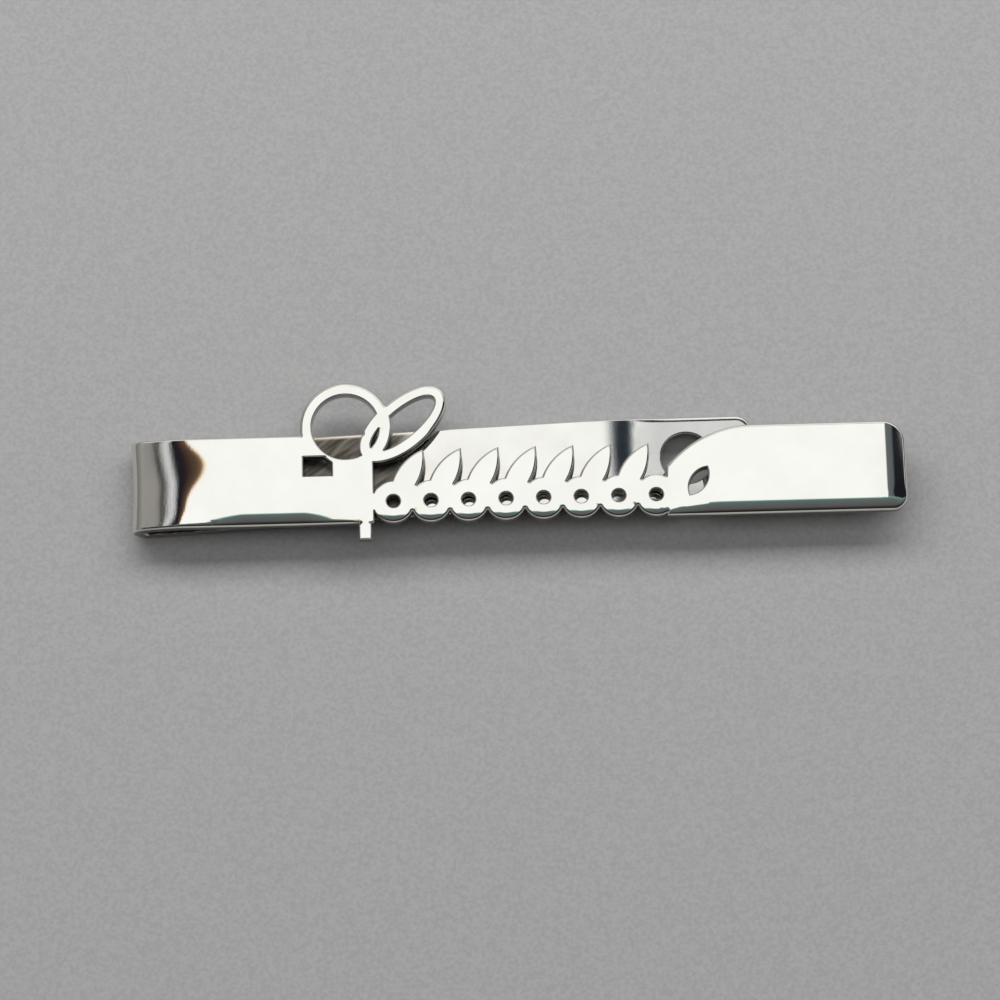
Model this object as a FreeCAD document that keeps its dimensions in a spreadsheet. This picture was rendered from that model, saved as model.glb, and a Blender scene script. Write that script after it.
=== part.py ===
import FreeCAD, Part
import math
import os
import Sketcher

# Slide-on tie clip: one polished strip folded into a hairpin, lengths in mm and angles in degrees.
# X runs along the strip from the fold to the open end, Y across it and Z out of the front face.
# The origin lies in the tie slot: mid-length, on the strip's centre line, on the plate's back.

doc = FreeCAD.newDocument("tie_clip")
sheet = doc.addObject("Spreadsheet::Sheet", "Sheet")

sizes = {
    # Strip and fold
    "clip_length": 60.0,
    "strip_width": 7.1,
    "strip_thickness": 1.0,
    "edge_round": 0.2,
    "shoulder_radius": 24.0,
    "shoulder_turn": 12.5,
    "nose_radius": 0.3,
    # Tongue
    "straight_length": 35.8,
    "ridge_gap": 0.15,
    "ridge_round": 16.0,
    "flare_length": 11.1,
    "flare_turn": 6.5,
    "tip_width": 6.5,
    "tip_round": 1.1,
    "tongue_skew": 1.9,
    "hole_radius": 2.0,
    "hole_to_tip": 5.1,
    # Plain ends of the plate
    "left_part_end": 18.8,
    "left_part_round": 2.2,
    "right_part_start": 41.4,
    "sweep_length": 6.9,
    "sweep_drop": 3.25,
    "end_round_upper": 1.7,
    "end_round_lower": 1.2,
    # Row of leaves along the lower edge
    "bud_radius": 1.65,
    "bud_first": 20.3,
    "bud_pitch": 2.9,
    "bud_count": 8,
    "leaf_length": 5.4,
    "leaf_width": 1.9,
    "leaf_lean": 60.0,
    "leaf_offset": 2.1,
    "eyelet_radius": 0.5,
    # Loops above the upper edge
    "loop_stroke": 0.95,
    "round_loop_at": 16.7,
    "round_loop_height": 4.15,
    "round_loop_radius": 3.55,
    "oval_loop_at": 21.15,
    "oval_loop_height": 4.3,
    "oval_half_length": 4.1,
    "oval_half_width": 2.05,
    "oval_lean": 40.0,
    # Small piercings and the peg under the lower edge
    "tag_hole_at": 14.5,
    "tag_hole_height": 1.05,
    "tag_hole_length": 2.2,
    "tag_hole_width": 1.55,
    "end_hole_at": 43.9,
    "end_hole_height": -0.9,
    "end_hole_length": 2.6,
    "end_hole_width": 1.2,
    "end_hole_lean": 58.0,
    "peg_at": 18.1,
    "peg_width": 0.95,
    "peg_drop": 1.3,
}
for row, (name, size) in enumerate(sizes.items(), start=1):
    sheet.set(f"A{row}", name)
    sheet.set(f"B{row}", str(size))
    sheet.setAlias(f"B{row}", name)
doc.recompute()

# Lengths that follow from the sizes
half_width = "(Sheet.strip_width / 2)"
thick = "Sheet.strip_thickness"
nose_outer = "(Sheet.nose_radius + Sheet.strip_thickness)"
plate_start = (
    "(Sheet.shoulder_radius * sin(Sheet.shoulder_turn)"
    f" + {nose_outer} * (1 - sin(Sheet.shoulder_turn)))"
)
shoulder_drop = "(Sheet.shoulder_radius * (1 - cos(Sheet.shoulder_turn)))"
nose_height = f"({thick} - {shoulder_drop} - {nose_outer} * cos(Sheet.shoulder_turn))"
rise = f"asin((Sheet.nose_radius - Sheet.ridge_gap - {nose_height}) / Sheet.straight_length)"
tongue_reach = "(Sheet.straight_length + Sheet.flare_length * cos(Sheet.flare_turn))"


def value(expression):
    return float(sheet.evalExpression(expression))


def new_body(label):
    body = doc.addObject("PartDesign::Body", label)
    body.Label = label
    return body


def plane_of(body, role):
    return next(f for f in body.Origin.OriginFeatures if f.Role == role)


def new_sketch(body, name, role, offset=None, turn_axis=None, turn=None):
    sketch = body.newObject("Sketcher::SketchObject", name)
    sketch.AttachmentSupport = [(plane_of(body, role), "")]
    sketch.MapMode = "FlatFace"
    if turn_axis is not None:
        sketch.AttachmentOffset = FreeCAD.Placement(
            FreeCAD.Vector(0, 0, 0), FreeCAD.Rotation(turn_axis, value(turn))
        )
        sketch.setExpression("AttachmentOffset.Rotation.Angle", turn)
    for axis, length in (offset or {}).items():
        sketch.setExpression(f"AttachmentOffset.Base.{axis}", length)
    return sketch


def bind(sketch, constraint, expression):
    index = sketch.addConstraint(constraint)
    sketch.setExpression(f"Constraints[{index}]", expression)


def pin_point(sketch, geometry, point, across, up):
    # Holds one point of the sketch at its two distances from the sketch's origin
    for kind, expression in (("DistanceX", across), ("DistanceY", up)):
        bind(sketch, Sketcher.Constraint(kind, -1, 1, geometry, point, value(expression)), expression)


def polygon(sketch, corners):
    first = sketch.GeometryCount
    places = [FreeCAD.Vector(value(across), value(up), 0) for across, up in corners]
    count = len(places)
    for i in range(count):
        sketch.addGeometry(Part.LineSegment(places[i], places[(i + 1) % count]))
    for i in range(count):
        sketch.addConstraint(Sketcher.Constraint("Coincident", first + i, 2, first + (i + 1) % count, 1))
    for i, (across, up) in enumerate(corners):
        pin_point(sketch, first + i, 1, across, up)
    return first


def swept_outline(sketch, corners):
    # A chain of lines, closed by an arc that touches the last line at its end
    places = [FreeCAD.Vector(value(across), value(up), 0) for across, up in corners]
    last = len(places) - 1
    for i in range(last):
        sketch.addGeometry(Part.LineSegment(places[i], places[i + 1]))
    run = f"({corners[last][0]} - {corners[0][0]})"
    drop = f"({corners[last][1]} - {corners[0][1]})"
    arc_radius = f"({run} * {run} + {drop} * {drop}) / (2 * {drop})"
    turn = 2 * math.atan2(value(drop), value(run))
    centre = places[last] - FreeCAD.Vector(0, value(arc_radius), 0)
    arc_middle = centre + value(arc_radius) * FreeCAD.Vector(-math.sin(turn / 2), math.cos(turn / 2), 0)
    sketch.addGeometry(Part.Arc(places[last], arc_middle, places[0]))
    for i in range(last + 1):
        sketch.addConstraint(Sketcher.Constraint("Coincident", i, 2, (i + 1) % (last + 1), 1))
    for i, (across, up) in enumerate(corners[:last]):
        pin_point(sketch, i, 1, across, up)
    pin_point(sketch, last - 1, 2, *corners[last])
    bind(sketch, Sketcher.Constraint("Radius", last, value(arc_radius)), arc_radius)


def rectangle(sketch, low_x, low_y, high_x, high_y):
    return polygon(sketch, [(low_x, low_y), (high_x, low_y), (high_x, high_y), (low_x, high_y)])


def circle(sketch, across, up, radius):
    centre = FreeCAD.Vector(value(across), value(up), 0)
    ring = sketch.addGeometry(Part.Circle(centre, FreeCAD.Vector(0, 0, 1), value(radius)))
    pin_point(sketch, ring, 3, across, up)
    bind(sketch, Sketcher.Constraint("Radius", ring, value(radius)), radius)


def ellipse(sketch, reach, breadth):
    # An ellipse about the sketch's origin, its long axis along the sketch's X
    oval = sketch.addGeometry(Part.Ellipse(FreeCAD.Vector(0, 0, 0), value(reach), value(breadth)))
    sketch.exposeInternalGeometry(oval)
    sketch.addConstraint(Sketcher.Constraint("Coincident", oval, 3, -1, 1))
    sketch.addConstraint(Sketcher.Constraint("Horizontal", oval + 1))
    for axis, half in ((oval + 1, reach), (oval + 2, breadth)):
        bind(sketch, Sketcher.Constraint("Distance", axis, 2 * value(half)), f"2 * {half}")


def leaf(sketch, length, width):
    # Two equal arcs that meet in a point at each end of the sketch's X axis
    half = value(length) / 2
    bulge = value(width) / 2
    ends = [FreeCAD.Vector(half, 0, 0), FreeCAD.Vector(-half, 0, 0)]
    upper = Part.Arc(ends[0], FreeCAD.Vector(0, bulge, 0), ends[1])
    lower = Part.Arc(ends[1], FreeCAD.Vector(0, -bulge, 0), ends[0])
    for arc in (upper, lower):
        sketch.addGeometry(arc)
    sketch.addConstraint(Sketcher.Constraint("Coincident", 0, 2, 1, 1))
    sketch.addConstraint(Sketcher.Constraint("Coincident", 1, 2, 0, 1))
    pin_point(sketch, 0, 1, f"{length} / 2", "0")
    pin_point(sketch, 1, 1, f"-{length} / 2", "0")
    arc_radius = f"({length} * {length} + {width} * {width}) / (4 * {width})"
    for index in (0, 1):
        bind(sketch, Sketcher.Constraint("Radius", index, value(arc_radius)), arc_radius)


def pad(body, sketch, name, length=thick, both_ways=False):
    feature = body.newObject("PartDesign::Pad", name)
    feature.Profile = sketch
    feature.SideType = "Symmetric" if both_ways else "One side"
    feature.setExpression("Length", length)
    doc.recompute()
    return feature


def pocket(body, sketch, name):
    feature = body.newObject("PartDesign::Pocket", name)
    feature.Profile = sketch
    feature.SideType = "Symmetric"
    feature.Type = "ThroughAll"
    doc.recompute()
    return feature


def repeat_along(body, feature, sketch, name, count="Sheet.bud_count"):
    row = body.newObject("PartDesign::LinearPattern", name)
    row.Originals = [feature]
    row.Direction = (sketch, ["H_Axis"])
    row.setExpression("Length", f"Sheet.bud_pitch * ({count} - 1)")
    row.setExpression("Occurrences", count)
    body.Tip = row
    doc.recompute()


def round_edges(body, feature, name, radius, wanted):
    # Rounds the edges of the feature whose points all satisfy the test
    names = []
    for number, edge in enumerate(feature.Shape.Edges, start=1):
        if all(wanted(p) for p in edge.discretize(5)):
            names.append(f"Edge{number}")
    fillet = body.newObject("PartDesign::Fillet", name)
    fillet.Base = (feature, names)
    fillet.setExpression("Radius", radius)
    body.Tip = fillet
    doc.recompute()
    return fillet


def near(a, b):
    return abs(a - b) < 1e-4


across_x = FreeCAD.Vector(1, 0, 0)
across_y = FreeCAD.Vector(0, 1, 0)
upright = FreeCAD.Vector(0, 0, 1)
edge_y = value(half_width)
top_z = value(thick)
left_end = "-Sheet.clip_length / 2"

# Face plate: x from the fold's outer end, y from the strip's centre line, z from the back
plate = new_body("face_plate")
plate.setExpression("Placement.Base.x", left_end)
bud_height = f"(Sheet.bud_radius - {half_width})"


def rolled_edges(p):
    return near(p.z, top_z) and near(abs(p.y), edge_y)


left_sketch = new_sketch(plate, "left_part_sketch", "XY_Plane")
rectangle(left_sketch, plate_start, f"-{half_width}", "Sheet.left_part_end", half_width)
left_part = pad(plate, left_sketch, "left_part")
left_x = value("Sheet.left_part_end")
left_corner = round_edges(
    plate, left_part, "left_part_corner", "Sheet.left_part_round",
    lambda p: near(p.x, left_x) and near(p.y, edge_y),
)
round_edges(plate, left_corner, "left_part_rolled", "Sheet.edge_round", rolled_edges)

# The right part starts in a long sweep, an arc that runs smoothly into the upper edge
sweep_end = (
    "min(Sheet.right_part_start + Sheet.sweep_length; Sheet.clip_length - 1.5 * Sheet.end_round_upper)"
)
sweep_low = f"({half_width} - Sheet.sweep_drop)"
right_sketch = new_sketch(plate, "right_part_sketch", "XY_Plane")
swept_outline(
    right_sketch,
    [
        ("Sheet.right_part_start", sweep_low),
        ("Sheet.right_part_start", f"-{half_width}"),
        ("Sheet.clip_length", f"-{half_width}"),
        ("Sheet.clip_length", half_width),
        (sweep_end, half_width),
    ],
)
right_part = pad(plate, right_sketch, "right_part")
end_x = value("Sheet.clip_length")
end_upper = round_edges(
    plate, right_part, "end_corner_upper", "Sheet.end_round_upper",
    lambda p: near(p.x, end_x) and near(p.y, edge_y),
)
end_lower = round_edges(
    plate, end_upper, "end_corner_lower", "Sheet.end_round_lower",
    lambda p: near(p.x, end_x) and near(p.y, -edge_y),
)
round_edges(
    plate, end_lower, "right_part_rolled", "Sheet.edge_round",
    lambda p: near(p.z, top_z) and near(p.x, end_x),
)

bud_sketch = new_sketch(plate, "bud_sketch", "XY_Plane")
circle(bud_sketch, "Sheet.bud_first", bud_height, "Sheet.bud_radius")
bud = pad(plate, bud_sketch, "bud")
repeat_along(plate, bud, bud_sketch, "bud_row")

leaf_at = "(Sheet.bud_first + Sheet.leaf_offset * cos(Sheet.leaf_lean))"
leaf_height = f"({bud_height} + Sheet.leaf_offset * sin(Sheet.leaf_lean))"
leaf_sketch = new_sketch(
    plate, "leaf_sketch", "XY_Plane", {"x": leaf_at, "y": leaf_height}, upright, "Sheet.leaf_lean"
)
leaf(leaf_sketch, "Sheet.leaf_length", "Sheet.leaf_width")
leaf_pad = pad(plate, leaf_sketch, "leaf")
repeat_along(plate, leaf_pad, bud_sketch, "leaf_row", "(Sheet.bud_count - 1)")

round_hollow = "(Sheet.round_loop_radius - Sheet.loop_stroke)"
oval_hollow_length = "(Sheet.oval_half_length - Sheet.loop_stroke)"
oval_hollow_width = "(Sheet.oval_half_width - Sheet.loop_stroke)"
round_place = {"x": "Sheet.round_loop_at", "y": "Sheet.round_loop_height"}
oval_place = {"x": "Sheet.oval_loop_at", "y": "Sheet.oval_loop_height"}

round_gap_sketch = new_sketch(plate, "round_loop_gap_sketch", "XY_Plane", round_place)
circle(round_gap_sketch, "0", "0", round_hollow)
pocket(plate, round_gap_sketch, "round_loop_gap")
oval_gap_sketch = new_sketch(
    plate, "oval_loop_gap_sketch", "XY_Plane", oval_place, upright, "Sheet.oval_lean"
)
ellipse(oval_gap_sketch, oval_hollow_length, oval_hollow_width)
pocket(plate, oval_gap_sketch, "oval_loop_gap")

round_sketch = new_sketch(plate, "round_loop_sketch", "XY_Plane", round_place)
circle(round_sketch, "0", "0", "Sheet.round_loop_radius")
circle(round_sketch, "0", "0", round_hollow)
pad(plate, round_sketch, "round_loop")
oval_sketch = new_sketch(plate, "oval_loop_sketch", "XY_Plane", oval_place, upright, "Sheet.oval_lean")
ellipse(oval_sketch, "Sheet.oval_half_length", "Sheet.oval_half_width")
ellipse(oval_sketch, oval_hollow_length, oval_hollow_width)
pad(plate, oval_sketch, "oval_loop")

peg_sketch = new_sketch(plate, "peg_sketch", "XY_Plane")
peg_side = "Sheet.peg_width / 2"
rectangle(
    peg_sketch,
    f"Sheet.peg_at - {peg_side}", f"-{half_width} - Sheet.peg_drop",
    f"Sheet.peg_at + {peg_side}", f"-{half_width} + Sheet.strip_thickness",
)
pad(plate, peg_sketch, "peg")

eyelet_sketch = new_sketch(plate, "eyelet_sketch", "XY_Plane")
circle(eyelet_sketch, "Sheet.bud_first", bud_height, "Sheet.eyelet_radius")
eyelet = pocket(plate, eyelet_sketch, "eyelet")
repeat_along(plate, eyelet, bud_sketch, "eyelet_row")

tag_sketch = new_sketch(
    plate, "tag_hole_sketch", "XY_Plane", {"x": "Sheet.tag_hole_at", "y": "Sheet.tag_hole_height"}
)
tag_end = "Sheet.tag_hole_length / 2"
tag_side = "Sheet.tag_hole_width / 2"
tag_shoulder = "Sheet.tag_hole_length / 5"
polygon(
    tag_sketch,
    [
        (f"-{tag_end}", f"-{tag_side}"),
        (tag_end, f"-{tag_side}"),
        (tag_end, f"{tag_side} / 3"),
        (tag_shoulder, tag_side),
        (f"-{tag_end}", tag_side),
    ],
)
pocket(plate, tag_sketch, "tag_hole")

end_sketch = new_sketch(
    plate, "end_hole_sketch", "XY_Plane",
    {"x": "Sheet.end_hole_at", "y": "Sheet.end_hole_height"}, upright, "Sheet.end_hole_lean",
)
leaf(end_sketch, "Sheet.end_hole_length", "Sheet.end_hole_width")
pocket(plate, end_sketch, "end_hole")

# Hairpin fold: the strip's section turned about the shoulder's centre, then about the nose's centre
fold = new_body("hairpin_fold")
fold.setExpression("Placement.Base.x", left_end)
shoulder_place = {"y": f"{thick} - Sheet.shoulder_radius", "z": plate_start}
section_low = f"(Sheet.shoulder_radius - {thick})"


def strip_section(sketch):
    rectangle(sketch, f"-{half_width}", section_low, half_width, "Sheet.shoulder_radius")


def turned(body, sketch, name, axis, angle):
    feature = body.newObject("PartDesign::Revolution", name)
    feature.Profile = sketch
    feature.ReferenceAxis = (sketch, [axis])
    feature.Reversed = True
    feature.setExpression("Angle", angle)
    doc.recompute()
    return feature


shoulder_sketch = new_sketch(fold, "shoulder_sketch", "YZ_Plane", shoulder_place)
strip_section(shoulder_sketch)
turned(fold, shoulder_sketch, "shoulder", "H_Axis", "Sheet.shoulder_turn")
nose_sketch = new_sketch(
    fold, "nose_sketch", "YZ_Plane", shoulder_place, -across_x, "Sheet.shoulder_turn"
)
strip_section(nose_sketch)
nose_axis = f"({section_low} - Sheet.nose_radius)"
pivot = nose_sketch.addGeometry(
    Part.LineSegment(
        FreeCAD.Vector(0, value(nose_axis), 0), FreeCAD.Vector(value(half_width), value(nose_axis), 0)
    ),
    True,
)
pin_point(nose_sketch, pivot, 1, "0", nose_axis)
pin_point(nose_sketch, pivot, 2, half_width, nose_axis)
nose = turned(fold, nose_sketch, "nose", "Axis0", f"(180 - Sheet.shoulder_turn) * 1 deg + {rise}")

shoulder_centre = FreeCAD.Vector(value(plate_start), 0, value(f"{thick} - Sheet.shoulder_radius"))
nose_centre = FreeCAD.Vector(value(nose_outer), 0, value(nose_height))


def outer_fold_edge(p):
    level = FreeCAD.Vector(p.x, 0, p.z)
    on_shoulder = near((level - shoulder_centre).Length, value("Sheet.shoulder_radius"))
    on_nose = near((level - nose_centre).Length, value(nose_outer))
    return near(abs(p.y), edge_y) and (on_shoulder or on_nose)


round_edges(fold, nose, "fold_rolled", "Sheet.edge_round", outer_fold_edge)

# Spring tongue: x along the tongue from the nose's centre, which is the line it flexes about
tongue = new_body("spring_tongue")
tongue.Placement = FreeCAD.Placement(FreeCAD.Vector(0, 0, 0), FreeCAD.Rotation(-across_y, value(rise)))
tongue.setExpression("Placement.Rotation.Angle", rise)
tongue.setExpression("Placement.Base.x", f"{nose_outer} - Sheet.clip_length / 2")
tongue.setExpression("Placement.Base.z", nose_height)
ridge_back = f"(Sheet.straight_length - {thick} * tan(Sheet.flare_turn / 2))"
tip_up = "(-Sheet.nose_radius - Sheet.flare_length * sin(Sheet.flare_turn))"
side_sketch = new_sketch(tongue, "side_sketch", "XZ_Plane")
polygon(
    side_sketch,
    [
        ("0", f"-{nose_outer}"),
        (ridge_back, f"-{nose_outer}"),
        (f"{tongue_reach} - {thick} * sin(Sheet.flare_turn)", f"{tip_up} - {thick} * cos(Sheet.flare_turn)"),
        (tongue_reach, tip_up),
        ("Sheet.straight_length", "-Sheet.nose_radius"),
        ("0", "-Sheet.nose_radius"),
    ],
)
strip = pad(tongue, side_sketch, "tongue_strip", "3 * Sheet.strip_width", True)
ridge_x = value("Sheet.straight_length")
hollow_x = value(ridge_back)
ridge = round_edges(
    tongue, strip, "ridge_rounded", "Sheet.ridge_round",
    lambda p: (near(p.x, ridge_x) and p.z > -1) or near(p.x, hollow_x),
)

# Plan of the tongue: it narrows towards its tip and runs slightly askew under the plate
lean_across = f"({tongue_reach} * tan(Sheet.tongue_skew))"
far = "(2 * Sheet.strip_width)"
trim_sketch = new_sketch(tongue, "plan_sketch", "XY_Plane")
for side in ("", "-"):
    polygon(
        trim_sketch,
        [
            ("0", f"{side}{half_width}"),
            (tongue_reach, f"{lean_across} + {side}1 * Sheet.tip_width / 2"),
            (tongue_reach, f"{side}1 * {far}"),
            ("0", f"{side}1 * {far}"),
        ],
    )
plan = pocket(tongue, trim_sketch, "plan")
tip_x = value(tongue_reach)
tip = round_edges(
    tongue, plan, "tip_corners", "Sheet.tip_round",
    lambda p: p.x > tip_x - 0.5 and abs(abs(p.y - value(lean_across)) - value("Sheet.tip_width") / 2) < 0.05,
)


def under_edge(p):
    # On the underside, and on the outline of the plan: a long side or the rounded tip
    middle = -value("Sheet.nose_radius") - top_z / 2
    if p.x > ridge_x:
        middle -= (p.x - ridge_x) * math.tan(math.radians(value("Sheet.flare_turn")))
    along = p.x / tip_x
    half = edge_y + along * (value("Sheet.tip_width") / 2 - edge_y)
    beside = abs(abs(p.y - along * value(lean_across)) - half) < 0.01
    return p.z < middle - top_z / 4 and (beside or p.x > tip_x - value("Sheet.tip_round") - top_z / 4)


round_edges(tongue, tip, "tongue_rolled", "Sheet.edge_round", under_edge)

# Round hole, punched square to the flared end
hole_sketch = new_sketch(
    tongue, "hole_sketch", "XY_Plane",
    {"x": "Sheet.straight_length", "z": "-Sheet.nose_radius"}, across_y, "Sheet.flare_turn",
)
hole_at = "(Sheet.flare_length - Sheet.hole_to_tip)"
hole_across = f"(Sheet.straight_length + {hole_at} * cos(Sheet.flare_turn)) * tan(Sheet.tongue_skew)"
circle(hole_sketch, hole_at, hole_across, "Sheet.hole_radius")
pocket(tongue, hole_sketch, "hole")

doc.recompute()
for thing in doc.Objects:
    if "Invalid" in thing.State or "Error" in thing.State:
        raise RuntimeError(f"{thing.Name}: {thing.State}")
os.makedirs("parts", exist_ok=True)
for body in (plate, fold, tongue):
    shape = body.Shape
    if shape.isNull() or not shape.isValid() or len(shape.Solids) != 1:
        raise RuntimeError(f"{body.Label} is not one valid solid")
    box = shape.optimalBoundingBox()
    low = (round(box.XMin, 3), round(box.YMin, 3), round(box.ZMin, 3))
    high = (round(box.XMax, 3), round(box.YMax, 3), round(box.ZMax, 3))
    print(body.Label, round(shape.Volume, 3), low, high)
    shape.exportStep(f"parts/{body.Label}.step")
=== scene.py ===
import bpy
import math
import numpy as np
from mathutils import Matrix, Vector
from mathutils.geometry import delaunay_2d_cdt


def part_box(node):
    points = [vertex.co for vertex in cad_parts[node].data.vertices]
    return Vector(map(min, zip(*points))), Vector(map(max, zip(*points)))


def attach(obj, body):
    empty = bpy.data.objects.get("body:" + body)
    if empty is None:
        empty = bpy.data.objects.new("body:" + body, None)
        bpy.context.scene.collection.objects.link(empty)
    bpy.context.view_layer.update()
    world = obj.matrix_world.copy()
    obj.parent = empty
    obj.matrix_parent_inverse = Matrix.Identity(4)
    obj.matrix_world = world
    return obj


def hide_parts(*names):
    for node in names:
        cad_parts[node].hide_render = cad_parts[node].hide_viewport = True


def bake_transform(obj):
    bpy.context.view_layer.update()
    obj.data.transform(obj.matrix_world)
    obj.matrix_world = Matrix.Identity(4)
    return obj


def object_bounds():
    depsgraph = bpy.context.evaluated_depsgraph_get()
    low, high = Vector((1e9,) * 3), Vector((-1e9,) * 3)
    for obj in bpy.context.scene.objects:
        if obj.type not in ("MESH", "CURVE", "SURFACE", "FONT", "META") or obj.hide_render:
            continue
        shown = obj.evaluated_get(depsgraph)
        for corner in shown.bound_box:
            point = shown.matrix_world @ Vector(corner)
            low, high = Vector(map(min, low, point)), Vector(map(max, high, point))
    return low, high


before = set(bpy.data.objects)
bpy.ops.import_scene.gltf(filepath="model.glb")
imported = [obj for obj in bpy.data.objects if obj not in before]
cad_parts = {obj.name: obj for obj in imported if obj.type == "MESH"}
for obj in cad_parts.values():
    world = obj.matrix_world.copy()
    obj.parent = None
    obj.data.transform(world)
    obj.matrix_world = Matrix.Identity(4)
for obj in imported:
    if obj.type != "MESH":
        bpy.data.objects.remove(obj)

cadBox = [list(corner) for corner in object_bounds()]
mm = 0.001
scene = bpy.context.scene
scene.view_settings.view_transform = "Standard"
weld = 2e-7  # points closer than this, in metres, become one
smoothAngle = 40  # edges that turn by less than this, in degrees, are shaded smooth


def linear(code):  # sRGB hex to the linear values that the shaders read
    parts = [int(code[i:i + 2], 16) / 255 for i in (1, 3, 5)]
    flat = [p / 12.92 if p <= 0.04045 else ((p + 0.055) / 1.055) ** 2.4 for p in parts]
    return flat + [1.0]


def addNode(tree, kind, sockets=None, **settings):  # a node with its settings, values and links
    made = tree.nodes.new(kind)
    for name, setting in settings.items():
        setattr(made, name, setting)
    for name, source in (sockets or {}).items():
        if isinstance(source, bpy.types.NodeSocket):
            tree.links.new(source, made.inputs[name])
        else:
            made.inputs[name].default_value = source
    return made


def setStops(ramp, stops):  # fills a colour ramp from (place, hex) pairs
    while len(ramp.elements) > 1:
        ramp.elements.remove(ramp.elements[-1])
    ramp.elements[0].position = stops[0][0]
    ramp.elements[0].color = linear(stops[0][1])
    for place, code in stops[1:]:
        ramp.elements.new(place).color = linear(code)


def only(thing):  # deselects everything else and makes this the active object
    bpy.ops.object.select_all(action="DESELECT")
    thing.select_set(True)
    bpy.context.view_layer.objects.active = thing


def newPiece(name, points, faces):
    mesh = bpy.data.meshes.new(name)
    mesh.from_pydata([tuple(p) for p in points], [], faces)
    piece = bpy.data.objects.new(name, mesh)
    scene.collection.objects.link(piece)
    return piece


def closeUp(piece, main):  # merges doubles, turns the faces outwards, shades the rounded ones smooth, adds the finishes
    only(piece)
    bpy.ops.object.mode_set(mode="EDIT")
    bpy.ops.mesh.select_all(action="SELECT")
    bpy.ops.mesh.remove_doubles(threshold=weld)
    bpy.ops.mesh.normals_make_consistent(inside=False)
    bpy.ops.object.mode_set(mode="OBJECT")
    bpy.ops.object.shade_smooth_by_angle(angle=math.radians(smoothAngle))
    for finish in (main, cutEdge):
        piece.data.materials.append(finish)


# Camera: a long lens, from in front and high above, a little to the left
camera = {
    "elevation": 75.0, "turn": 1.55, "lens": 180.0, "sensor": 36.0, "view": 77.2, "aim": (-1.473, -1.9, 0.5),
    "near": 0.01,
}


def placeCamera():
    away = camera["view"] * camera["lens"] / camera["sensor"]
    rise, turn = math.radians(camera["elevation"]), math.radians(camera["turn"])
    back = Vector((-math.sin(turn) * math.cos(rise), -math.cos(turn) * math.cos(rise), math.sin(rise)))
    bpy.ops.object.camera_add(location=(Vector(camera["aim"]) + back * away) * mm)
    seer = bpy.context.object
    seer.rotation_euler = back.to_track_quat("Z", "Y").to_euler()
    seer.data.lens = camera["lens"]
    seer.data.sensor_width = camera["sensor"]
    seer.data.clip_start = camera["near"]
    scene.camera = seer
    print("camera", [round(v, 4) for v in seer.location])


placeCamera()

# Floor: grey card under the clip, with flecks of about 0.3 mm
floor = {
    "size": 2.4, "colour": "#a4a3a3", "flecks": ("#9f9e9e", "#a9a8a8"), "perMetre": 3500.0, "spread": (0.35, 0.65),
    "rough": 0.9,
}


def layFloor():
    bpy.ops.object.select_all(action="DESELECT")
    bpy.ops.mesh.primitive_plane_add(size=floor["size"], location=(0, 0, cadBox[0][2]))
    card = bpy.context.object
    card.name = "floor"
    bpy.ops.object.transform_apply(location=True)
    paper = bpy.data.materials.new("greyCard")  # matt card: even grey with a fine grain
    paper.use_nodes = True
    tree = paper.node_tree
    shader = tree.nodes["Principled BSDF"]
    place = addNode(tree, "ShaderNodeTexCoord").outputs["Object"]
    flecks = addNode(tree, "ShaderNodeTexNoise", {
        "Vector": place, "Scale": floor["perMetre"], "Detail": 3.0}).outputs["Fac"]
    share = addNode(tree, "ShaderNodeMapRange", {
        "Value": flecks, "From Min": floor["spread"][0], "From Max": floor["spread"][1]}).outputs["Result"]
    dark, light = (linear(code) for code in floor["flecks"])
    tint = addNode(tree, "ShaderNodeMix", {"Factor": share, 6: dark, 7: light}, data_type="RGBA").outputs[2]
    tree.links.new(tint, shader.inputs["Base Color"])
    shader.inputs["Roughness"].default_value = floor["rough"]
    card.data.materials.append(paper)
    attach(card, "tongue")  # the clip lies on its tongue, so the face lifts off the card as it opens
    print("floor laid")


layFloor()

# Lamp: a long soft strip behind and above, which the metal doesn't mirror; "back" is its angle from straight up
key = {"power": 4.45, "length": 1.3, "depth": 0.2, "away": 0.5, "back": 45.0}


def hangLamp():
    lean = math.radians(key["back"])
    place = Vector((0, math.sin(lean), math.cos(lean))) * key["away"]
    bpy.ops.object.light_add(type="AREA", location=place)
    lamp = bpy.context.object
    lamp.rotation_euler = place.to_track_quat("Z", "Y").to_euler()
    lamp.data.shape = "RECTANGLE"
    lamp.data.size = key["length"]
    lamp.data.size_y = key["depth"]
    lamp.data.energy = key["power"]
    lamp.visible_glossy = False
    print("lamp hung")


hangLamp()

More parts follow.
